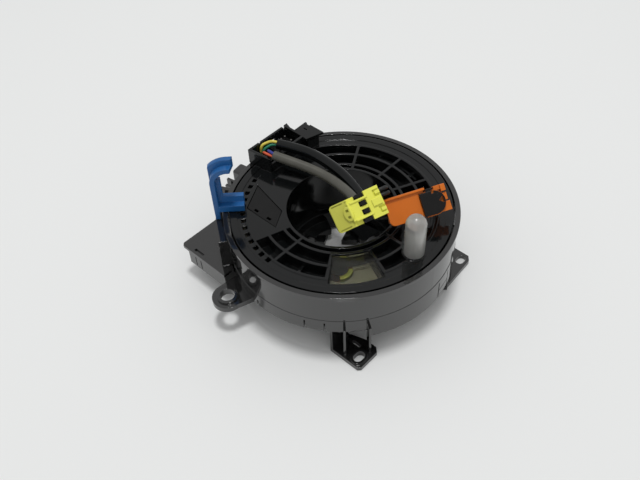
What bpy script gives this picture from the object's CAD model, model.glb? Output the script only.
from math import radians

import bmesh
import bpy
from mathutils import Matrix, Vector


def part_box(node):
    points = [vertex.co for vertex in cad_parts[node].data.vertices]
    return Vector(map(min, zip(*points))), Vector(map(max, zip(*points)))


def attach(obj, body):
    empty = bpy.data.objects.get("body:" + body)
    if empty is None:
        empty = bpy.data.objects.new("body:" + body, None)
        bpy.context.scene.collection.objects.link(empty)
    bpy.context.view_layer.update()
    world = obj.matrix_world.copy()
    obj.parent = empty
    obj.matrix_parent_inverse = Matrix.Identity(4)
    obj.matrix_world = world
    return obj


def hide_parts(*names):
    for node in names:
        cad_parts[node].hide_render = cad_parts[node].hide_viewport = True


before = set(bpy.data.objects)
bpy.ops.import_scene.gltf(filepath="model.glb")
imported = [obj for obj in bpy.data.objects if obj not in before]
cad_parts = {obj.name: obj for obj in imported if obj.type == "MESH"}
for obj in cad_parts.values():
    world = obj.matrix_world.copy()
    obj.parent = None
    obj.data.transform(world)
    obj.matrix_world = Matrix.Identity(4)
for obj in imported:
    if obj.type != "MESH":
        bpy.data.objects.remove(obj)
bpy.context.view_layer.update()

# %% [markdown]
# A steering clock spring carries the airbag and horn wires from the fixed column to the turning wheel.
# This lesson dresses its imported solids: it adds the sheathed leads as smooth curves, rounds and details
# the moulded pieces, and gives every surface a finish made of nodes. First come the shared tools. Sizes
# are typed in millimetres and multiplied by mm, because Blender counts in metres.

mm = 0.001

# %% [markdown]
# The camera looks down at the part from its right front corner, as someone standing at a bench does. It is
# placed by two angles and a distance from a point inside the drum, then rolled a little, which is easier
# to read and to change than a matrix.

# %% Camera
view_azimuth = 45.0
view_elevation = 47.028
view_roll = -3.025
view_distance = 322.4 * mm
view_target = Vector((0.35, -14.64, 28.12)) * mm
focal_pixels = 732.14
frame_width_pixels = 640
sensor_width = 36.0
nearest_seen = 10 * mm

camera_data = bpy.data.cameras.new("camera")
camera_data.sensor_width = sensor_width
camera_data.lens = sensor_width * focal_pixels / frame_width_pixels
camera_data.clip_start = nearest_seen
camera = bpy.data.objects.new("camera", camera_data)
bpy.context.collection.objects.link(camera)
turn = Matrix.Rotation(radians(view_azimuth), 4, "Z")
tilt = turn @ Matrix.Rotation(radians(90 - view_elevation), 4, "X")
roll = Matrix.Rotation(radians(view_roll), 4, "Z")
back = tilt.to_3x3() @ Vector((0, 0, 1))
camera.matrix_world = Matrix.Translation(view_target + back * view_distance) @ tilt @ roll
bpy.context.scene.camera = camera
print("camera stands at", [round(v / mm, 1) for v in camera.location])

# %% [markdown]
# Plugs and clips come out of their moulds with a small radius on every edge, and that radius catches the
# light. Each is a merged copy of its solid: flat triangles are dissolved into whole faces first, because a
# bevel works on clean edges, and then a Bevel modifier rounds only the edges that are sharper than an angle.

# %% Softened mouldings
weld_distance = 0.001 * mm
flat_angle = radians(1.0)
sharp_angle = radians(40)


def mesh_piece(name, shape, body):
    """A finished bmesh as an object that rides on a body."""
    mesh = bpy.data.meshes.new(name)
    shape.to_mesh(mesh)
    shape.free()
    piece = bpy.data.objects.new(name, mesh)
    bpy.context.collection.objects.link(piece)
    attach(piece, body)
    print(name, "has", len(mesh.polygons), "faces")
    return piece


def softened(name, body, radius):
    """A merged copy of a solid with rounded edges, standing in for the solid."""
    shape = bmesh.new()
    shape.from_mesh(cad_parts[name].data)
    bmesh.ops.remove_doubles(shape, verts=shape.verts, dist=weld_distance)
    bmesh.ops.dissolve_limit(shape, angle_limit=flat_angle, verts=shape.verts, edges=shape.edges)
    piece = mesh_piece(name + "_moulding", shape, body)
    rounding = piece.modifiers.new("rounded_edges", "BEVEL")
    rounding.width = radius * mm
    rounding.segments = 2
    rounding.limit_method = "ANGLE"
    rounding.angle_limit = sharp_angle
    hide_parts(name)
    return piece


clip_moulding = softened("lock_clip", "clip", 0.3)
yellow_moulding = softened("yellow_plug", "rotor", 0.18)
orange_moulding = softened("orange_plug", "rotor", 0.35)

# %% [markdown]
# Low in the bore, the drive sleeve's two lugs end in thin feet that lead the turning column in. A foot is a
# flat outline of a few corners, extruded upwards to meet the underside of its lug. The same extrusion will
# make the carrier's plate, so it is a function.

# %% Feet of the drive lugs
def thickened(shape, faces, height):
    """Pulls flat faces up into a closed slab, with its faces pointing outwards."""
    grown = bmesh.ops.extrude_face_region(shape, geom=faces, use_keep_orig=True)
    raised = [item for item in grown["geom"] if isinstance(item, bmesh.types.BMVert)]
    bmesh.ops.translate(shape, verts=raised, vec=(0, 0, height * mm))
    bmesh.ops.recalc_face_normals(shape, faces=shape.faces)


foot_bottom = 0.6
foot_height = 2.8
lug_feet = {
    "left_lug_foot": [(-18.4, 11.5), (-14.6, 4.4), (-13.2, 1.9), (-17.4, -0.6), (-22.2, 1.0), (-21.6, 6.0)],
    "right_lug_foot": [(-10.9, 16.4), (-7.9, 8.2), (-2.4, 12.8), (-3.0, 21.4), (-8.0, 20.6)],
}
sleeve_feet = []
for foot_name, outline in lug_feet.items():
    foot_shape = bmesh.new()
    corners = [foot_shape.verts.new(Vector((x, y, foot_bottom)) * mm) for x, y in outline]
    thickened(foot_shape, [foot_shape.faces.new(corners)], foot_height)
    sleeve_feet.append(mesh_piece(foot_name, foot_shape, "rotor"))

# %% [markdown]
# The two sheaths are vinyl tubes that hold the airbag wires. Each is a smooth NURBS curve with the route's
# few points as its control points, because a curve through many points would look like bent wire. The
# tube's radius is set on the points and the bevel depth stays at one metre, since Blender counts a point's
# radius into the curve's bounding box: with the default radius of one, the box would be two metres wide.

# %% Sheathed leads
black_sheath_route = [(-44.1, 5.5, 46.0), (-34.1, 9.9, 45.7), (-24.2, 11.6, 45.2), (-14.8, 11.5, 44.7),
                      (-5.8, 10.1, 44.3), (2.6, 7.3, 43.9), (8.6, 5.0, 43.4)]
grey_sheath_route = [(-39.6, -1.4, 46.0), (-30.6, 1.1, 45.6), (-21.0, 3.8, 45.0), (-11.6, 4.8, 44.7),
                     (-3.2, 3.8, 45.1), (3.4, 2.1, 45.7), (9.3, 0.2, 45.6)]


def cord_curve(name, route, diameter):
    """A round cord as one smooth NURBS spline through the pull of the route's points."""
    curve = bpy.data.curves.new(name, "CURVE")
    curve.dimensions = "3D"
    curve.bevel_depth = 1.0
    curve.bevel_resolution = 8
    curve.resolution_u = 16
    curve.use_fill_caps = True
    spline = curve.splines.new("NURBS")
    spline.points.add(len(route) - 1)
    for point, place in zip(spline.points, route):
        point.co = (*(Vector(place) * mm), 1.0)
        point.radius = diameter / 2
    spline.order_u = 3
    spline.use_endpoint_u = True
    piece = bpy.data.objects.new(name, curve)
    bpy.context.collection.objects.link(piece)
    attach(piece, "rotor")
    print(name, "has", len(route), "points")
    return piece


black_tube = cord_curve("black_sheath_tube", black_sheath_route, 5.0 * mm)
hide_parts("black_sheath")
grey_tube = cord_curve("grey_sheath_tube", grey_sheath_route, 4.4 * mm)
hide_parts("grey_sheath")

# %% [markdown]
# Under the smoky window one roller of the ribbon carrier shows as a dark disc. Its flange is a thin disc
# whose top is inset and lowered a little, and it hides the end of the pale post that the roller turns on.
# The other rollers get the same flange, each riding on its own roller so that it turns with it.

# %% Roller flanges
roller_numbers = range(1, 7)
flange_bottom = 30.4
flange_radius = 3.7
flange_thickness = 0.35
flange_taper = 0.2
flange_inset = 1.2
flange_dish = 0.15


def roller_centre(number, height):
    """The middle of a roller, seen from above, at a height in millimetres."""
    roller_low, roller_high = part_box("roller_" + str(number))
    centre = (roller_low + roller_high) / 2
    centre.z = height * mm
    return centre


roller_flanges = []
for number in roller_numbers:
    flange_shape = bmesh.new()
    bmesh.ops.create_cone(flange_shape, cap_ends=True, segments=40, radius1=flange_radius * mm,
                          radius2=(flange_radius - flange_taper) * mm, depth=flange_thickness * mm)
    top_face = max(flange_shape.faces, key=lambda face: face.calc_center_median().z)
    bmesh.ops.inset_region(flange_shape, faces=[top_face], thickness=flange_inset * mm)
    bmesh.ops.translate(flange_shape, verts=top_face.verts, vec=(0, 0, -flange_dish * mm))
    flange_middle = roller_centre(number, flange_bottom + flange_thickness / 2)
    bmesh.ops.translate(flange_shape, verts=flange_shape.verts, vec=flange_middle)
    roller_body = "roller_%d_body" % number
    roller_flanges.append(mesh_piece("roller_flange_" + str(number), flange_shape, roller_body))

# %% [markdown]
# The pale plate on top of the ribbon carrier keeps the ribbon from riding up, and it is what one mostly sees
# through the window. Its outline is drawn as circles: the plate's two rims and a hole for each roller. The
# first roller's hole is larger and set further out, so that the yellow mark beside it shows. A triangle
# fill makes one flat face region of them, holes left open, and an extrusion gives it thickness.

# %% Carrier plate
plate_bottom = 30.42
plate_thickness = 0.3
plate_rims = (25.8, 43.7)
marked_roller = 1
mark_hole_radius = 5.9
mark_hole_shift = 1.6
roller_hole_radius = 4.1
plate_shape = bmesh.new()
for radius in plate_rims:
    bmesh.ops.create_circle(plate_shape, segments=160, radius=radius * mm)
for number in roller_numbers:
    hole_centre = roller_centre(number, 0)
    hole_radius = roller_hole_radius
    if number == marked_roller:
        hole_radius = mark_hole_radius
        hole_centre += hole_centre.normalized() * mark_hole_shift * mm
    bmesh.ops.create_circle(plate_shape, segments=48, radius=hole_radius * mm,
                            matrix=Matrix.Translation(hole_centre))
bmesh.ops.triangle_fill(plate_shape, use_beauty=True, use_dissolve=False, edges=plate_shape.edges)
thickened(plate_shape, plate_shape.faces[:], plate_thickness)
bmesh.ops.translate(plate_shape, verts=plate_shape.verts, vec=(0, 0, plate_bottom * mm))
open_edges = [edge for edge in plate_shape.edges if not edge.is_manifold]
print("carrier plate has", len(open_edges), "open edges")
carrier_plate = mesh_piece("carrier_plate", plate_shape, "carrier")

# %% [markdown]
# The bench is a plain pale sheet, much larger than the part so that its edge stays out of the picture. It is
# staged, which keeps it out of the part's own size. Its material is the first, and every other one starts
# from the same two helpers: a new material, and values set on a node's sockets by name.

# %% Bench top
def node_material(name):
    """A new material with its node tree and its Principled shader."""
    material = bpy.data.materials.new(name)
    material.use_nodes = True
    tree = material.node_tree
    return material, tree, tree.nodes["Principled BSDF"]


def set_values(node, values):
    """Sets constant values on a node's sockets, found by name."""
    for socket, value in values.items():
        node.inputs[socket].default_value = value


half_side = 3.0
floor_shape = bmesh.new()
bmesh.ops.create_grid(floor_shape, x_segments=1, y_segments=1, size=half_side)
floor_mesh = bpy.data.meshes.new("floor")
floor_shape.to_mesh(floor_mesh)
floor_shape.free()
floor = bpy.data.objects.new("floor", floor_mesh)
bpy.context.collection.objects.link(floor)
floor_material, _, floor_shader = node_material("floor_sheet")
set_values(floor_shader, {"Base Color": (0.822, 0.831, 0.826, 1), "Roughness": 0.9, "Specular IOR Level": 0.0})
floor_mesh.materials.append(floor_material)
print("bench top is", 2 * half_side, "m wide")

# %% [markdown]
# Glossy black plastic shows what it reflects more than its own colour. So an even light comes from all
# round, as inside a tent of white cloth, and one soft disk lamp straight overhead gives the short shadows
# and the bright glints on rounded edges.

# %% Light
tent_strength = 0.565
lamp_place = Vector((-0.03, 0.03, 1.5))
lamp_width = 0.26
lamp_power = 9.3

world = bpy.data.worlds.new("tent")
bpy.context.scene.world = world
world.use_nodes = True
set_values(world.node_tree.nodes["Background"], {"Color": (1.0, 1.0, 1.0, 1), "Strength": tent_strength})

lamp_data = bpy.data.lights.new("soft_box", "AREA")
lamp_data.shape = "DISK"
lamp_data.size = lamp_width
lamp_data.energy = lamp_power
lamp = bpy.data.objects.new("soft_box", lamp_data)
bpy.context.collection.objects.link(lamp)
lamp.location = lamp_place
lamp.rotation_euler = (-lamp_place).to_track_quat("-Z", "Y").to_euler()
print("lamp of", lamp_power, "W hangs at", tuple(lamp_place), "m")

# %% [markdown]
# Injection-moulded plastic is never one flat colour: its gloss wanders a little, it has a very fine grain,
# and its edges catch the light because they are slightly rounded. One function makes this finish for every
# colour: a slow noise drives tint and gloss, a fine noise drives the grain, and a Bevel node rounds edges.

# %% Moulded plastic finish
cloud_scale = 160.0
grain_depth = 0.05 * mm


def noise(tree, place, scale, detail):
    """A noise pattern on the piece's own coordinates."""
    pattern = tree.nodes.new("ShaderNodeTexNoise")
    set_values(pattern, {"Scale": scale, "Detail": detail})
    tree.links.new(place.outputs["Object"], pattern.inputs["Vector"])
    return pattern


def wandering_gloss(tree, shader, pattern, lowest, highest):
    """Lets a shader's roughness follow a pattern between two values."""
    gloss = tree.nodes.new("ShaderNodeMapRange")
    set_values(gloss, {"To Min": lowest, "To Max": highest})
    tree.links.new(pattern.outputs["Fac"], gloss.inputs["Value"])
    tree.links.new(gloss.outputs["Result"], shader.inputs["Roughness"])


def moulded_plastic(name, colour, roughness, grain=0.04, grain_size=0.5, edge=0.25, specular=0.5,
                    mottle=0.08, refraction=1.5):
    """Moulded plastic: a base colour with faint mottling, wandering gloss, fine grain and soft edges."""
    material, tree, shader = node_material(name)
    nodes, links = tree.nodes, tree.links
    place = nodes.new("ShaderNodeTexCoord")
    cloud = noise(tree, place, cloud_scale, 4.0)
    tint = nodes.new("ShaderNodeValToRGB")
    tint.color_ramp.elements[0].position = 0.3
    tint.color_ramp.elements[1].position = 0.7
    tint.color_ramp.elements[0].color = (*[c * (1 - mottle) for c in colour], 1)
    tint.color_ramp.elements[1].color = (*[min(1, c * (1 + mottle)) for c in colour], 1)
    links.new(cloud.outputs["Fac"], tint.inputs["Fac"])
    links.new(tint.outputs["Color"], shader.inputs["Base Color"])
    wandering_gloss(tree, shader, cloud, roughness * 0.8, roughness * 1.25)
    fine = noise(tree, place, 1.0 / (grain_size * mm), 2.0)
    rounded = nodes.new("ShaderNodeBevel")
    rounded.samples = 6
    rounded.inputs["Radius"].default_value = edge * mm
    bump = nodes.new("ShaderNodeBump")
    set_values(bump, {"Strength": grain, "Distance": grain_depth})
    links.new(fine.outputs["Fac"], bump.inputs["Height"])
    links.new(rounded.outputs["Normal"], bump.inputs["Normal"])
    links.new(bump.outputs["Normal"], shader.inputs["Normal"])
    set_values(shader, {"Specular IOR Level": specular, "IOR": refraction})
    return material

# %% [markdown]
# The case is the glossiest moulding and the rotor a little less so. The covers are satin. The clip and the
# plugs are coloured, so that a fitter can tell them apart, and the carrier is a pale natural plastic.

# %% Colours of the mouldings
case_black = moulded_plastic("case_black", (0.010, 0.010, 0.010), 0.07, grain=0.015, specular=0.76,
                             refraction=1.6)
rotor_black = moulded_plastic("rotor_black", (0.0042, 0.0048, 0.0050), 0.10, grain=0.02, edge=0.4,
                              specular=0.42)
cover_black = moulded_plastic("cover_black", (0.006, 0.006, 0.006), 0.30, specular=0.24)
clip_blue = moulded_plastic("clip_blue", (0.012, 0.10, 0.30), 0.34, grain=0.06, specular=0.4)
plug_yellow = moulded_plastic("plug_yellow", (0.80, 0.80, 0.10), 0.42, mottle=0.03)
plug_orange = moulded_plastic("plug_orange", (0.62, 0.145, 0.008), 0.34, mottle=0.04, specular=0.35)
board_green = moulded_plastic("board_green", (0.02, 0.12, 0.05), 0.35)
carrier_white = moulded_plastic("carrier_white", (0.34, 0.32, 0.25), 0.35)
print("plastic finishes are made")

# %% [markdown]
# The flat end plate of the yellow plug is thin, and the dark hollow below it dulls its colour. Its place is
# found by how far along the plug a point lies, so that the rest of the plug stays bright. The same helper
# later dulls the dome of the milky cap, where the hollow inside shows through.

# %% Dulling by place
def dull_along(material, axis, start, end, shade_start, shade_end):
    """Multiplies a finish's colour by a value that changes between two places along an axis."""
    tree = material.node_tree
    shader = tree.nodes["Principled BSDF"]
    colour = shader.inputs["Base Color"].links[0].from_socket
    place = tree.nodes.new("ShaderNodeTexCoord")
    along = tree.nodes.new("ShaderNodeVectorMath")
    along.operation = "DOT_PRODUCT"
    along.inputs[1].default_value = axis
    tree.links.new(place.outputs["Object"], along.inputs[0])
    dulling = tree.nodes.new("ShaderNodeMapRange")
    set_values(dulling, {"From Min": start * mm, "From Max": end * mm,
                         "To Min": shade_start, "To Max": shade_end})
    tree.links.new(along.outputs["Value"], dulling.inputs["Value"])
    product = tree.nodes.new("ShaderNodeMix")
    product.data_type = "RGBA"
    product.blend_type = "MULTIPLY"
    product.inputs["Factor"].default_value = 1.0
    colour_a, colour_b = [socket for socket in product.inputs if socket.type == "RGBA"]
    tree.links.new(colour, colour_a)
    tree.links.new(dulling.outputs["Result"], colour_b)
    mixed = next(socket for socket in product.outputs if socket.type == "RGBA")
    tree.links.new(mixed, shader.inputs["Base Color"])
    print(material.name, "changes shade from", round(start, 2), "to", round(end, 2), "mm")


plug_axis = (0.4658, 0.848, 0.252)
end_plate_reach = 10.6
plug_body_start = 11.2
end_plate_shade = 0.60
dull_along(plug_yellow, plug_axis, end_plate_reach, plug_body_start, end_plate_shade, 1.0)

# %% [markdown]
# The cable pieces are softer: vinyl sheaths and thin insulated wires. They share one finish with a finer edge
# and a coarser grain, and the black sheath is glossy with little reflection of its own.

# %% Vinyl and wire finishes
def vinyl(name, colour, roughness=0.45):
    """Soft vinyl with a broad sheen and an extrusion grain."""
    return moulded_plastic(name, colour, roughness, grain=0.08, grain_size=0.9, edge=0.1, mottle=0.12)


sheath_black = vinyl("sheath_black", (0.002, 0.003, 0.003), 0.16)
set_values(sheath_black.node_tree.nodes["Principled BSDF"], {"Specular IOR Level": 0.34})
sheath_grey = vinyl("sheath_grey", (0.076, 0.074, 0.061), 0.34)
lead_black = vinyl("lead_black", (0.003, 0.003, 0.003), 0.5)
wire_green = vinyl("wire_green", (0.012, 0.19, 0.10))
wire_yellow = vinyl("wire_yellow", (0.74, 0.62, 0.09))
wire_red = vinyl("wire_red", (0.62, 0.10, 0.04))
wire_blue = vinyl("wire_blue", (0.025, 0.034, 0.24))
print("cable finishes are made")

# %% [markdown]
# Terminals and pins are tinned metal, and the ribbon is copper foil in a clear amber film. Both are metals
# whose gloss follows a very fine noise, as rolled strip does.

# %% Metal finishes
rolled_scale = 900.0


def metal(name, colour, roughness):
    """Bright plated metal with a fine rolled grain."""
    material, tree, shader = node_material(name)
    grain = noise(tree, tree.nodes.new("ShaderNodeTexCoord"), rolled_scale, 2.0)
    wandering_gloss(tree, shader, grain, roughness * 0.7, roughness * 1.4)
    set_values(shader, {"Base Color": (*colour, 1), "Metallic": 1.0})
    return material


tinned = metal("tinned", (0.42, 0.41, 0.39), 0.34)
copper_film = metal("copper_film", (0.70, 0.36, 0.16), 0.32)
print("metal finishes are made")

# %% [markdown]
# The window is smoky clear plastic, and the cap over the locating pin is milky: light soaks into it. Both
# are made with the shader's own transmission value. The window is nearly all clear, and the cap stays
# partly white, with a thin clear coat that gives its dome a small bright glint.

# %% Clear and milky finishes
smoke_scale = 260.0
lens_smoke, lens_tree, lens_shader = node_material("lens_smoke")
set_values(lens_shader, {"Base Color": (0.63, 0.635, 0.55, 1), "Transmission Weight": 0.99, "IOR": 1.3})
lens_cloud = noise(lens_tree, lens_tree.nodes.new("ShaderNodeTexCoord"), smoke_scale, 2.0)
wandering_gloss(lens_tree, lens_shader, lens_cloud, 0.05, 0.11)

milky = moulded_plastic("milky", (0.88, 0.88, 0.845), 0.36, grain=0.05, mottle=0.02)
set_values(milky.node_tree.nodes["Principled BSDF"],
           {"Transmission Weight": 0.74, "Coat Weight": 0.7, "Coat Roughness": 0.06})
dome_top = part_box("pin_cap")[1].z / mm
shade_start_depth = 7.0
shade_full_depth = 4.0
dome_shade = 0.74
dull_along(milky, (0, 0, 1), dome_top - shade_start_depth, dome_top - shade_full_depth, 1.0, dome_shade)
print("clear and milky finishes are made")

# %% [markdown]
# Now each solid gets its finish. The list reads like the parts bin: which moulding is which colour. The
# pieces added above carry no material yet, so theirs come after the list.

# %% Finishes of the solids
finishes = {
    case_black: ["stator_case", "bottom_cover", "harness_connector", "angle_sensor_case", "angle_sensor_lid"],
    rotor_black: ["rotor", "drive_sleeve", "code_disc"],
    cover_black: ["terminal_cover", "tower_header", "outer_terminal", "inner_terminal", "photo_interrupter",
                  "yellow_plug_lock", "orange_plug_lock"] + ["roller_" + str(n) for n in roller_numbers],
    plug_yellow: ["position_mark"],
    board_green: ["sensor_board"],
    carrier_white: ["roller_carrier", "sensor_socket"],
    tinned: ["harness_pins", "sensor_pins", "tower_pins", "yellow_contacts", "orange_contacts"],
    copper_film: ["ribbon_cable"],
    lens_smoke: ["window_lens"],
    milky: ["pin_cap"],
    lead_black: ["yellow_lead_1", "yellow_lead_2", "orange_lead_1", "orange_lead_2"],
    wire_green: ["wire_green"],
    wire_yellow: ["wire_yellow"],
    wire_red: ["wire_red"],
    wire_blue: ["wire_blue"],
}
for finish, names in finishes.items():
    for name in names:
        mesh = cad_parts[name].data
        mesh.materials.clear()
        mesh.materials.append(finish)
for piece, finish in [(black_tube, sheath_black), (grey_tube, sheath_grey), (clip_moulding, clip_blue),
                      (yellow_moulding, plug_yellow), (orange_moulding, plug_orange)]:
    piece.data.materials.append(finish)
for piece in sleeve_feet + roller_flanges:
    piece.data.materials.append(rotor_black)
carrier_plate.data.materials.append(carrier_white)
print("finishes given to", sum(len(names) for names in finishes.values()), "solids")

# %% [markdown]
# Last, the part's size before and after the dressing is written down, which shows that no added piece sticks
# out past the solids.

scene_settings = bpy.context.scene
scene_settings.view_settings.view_transform = "Standard"
print("size record written")
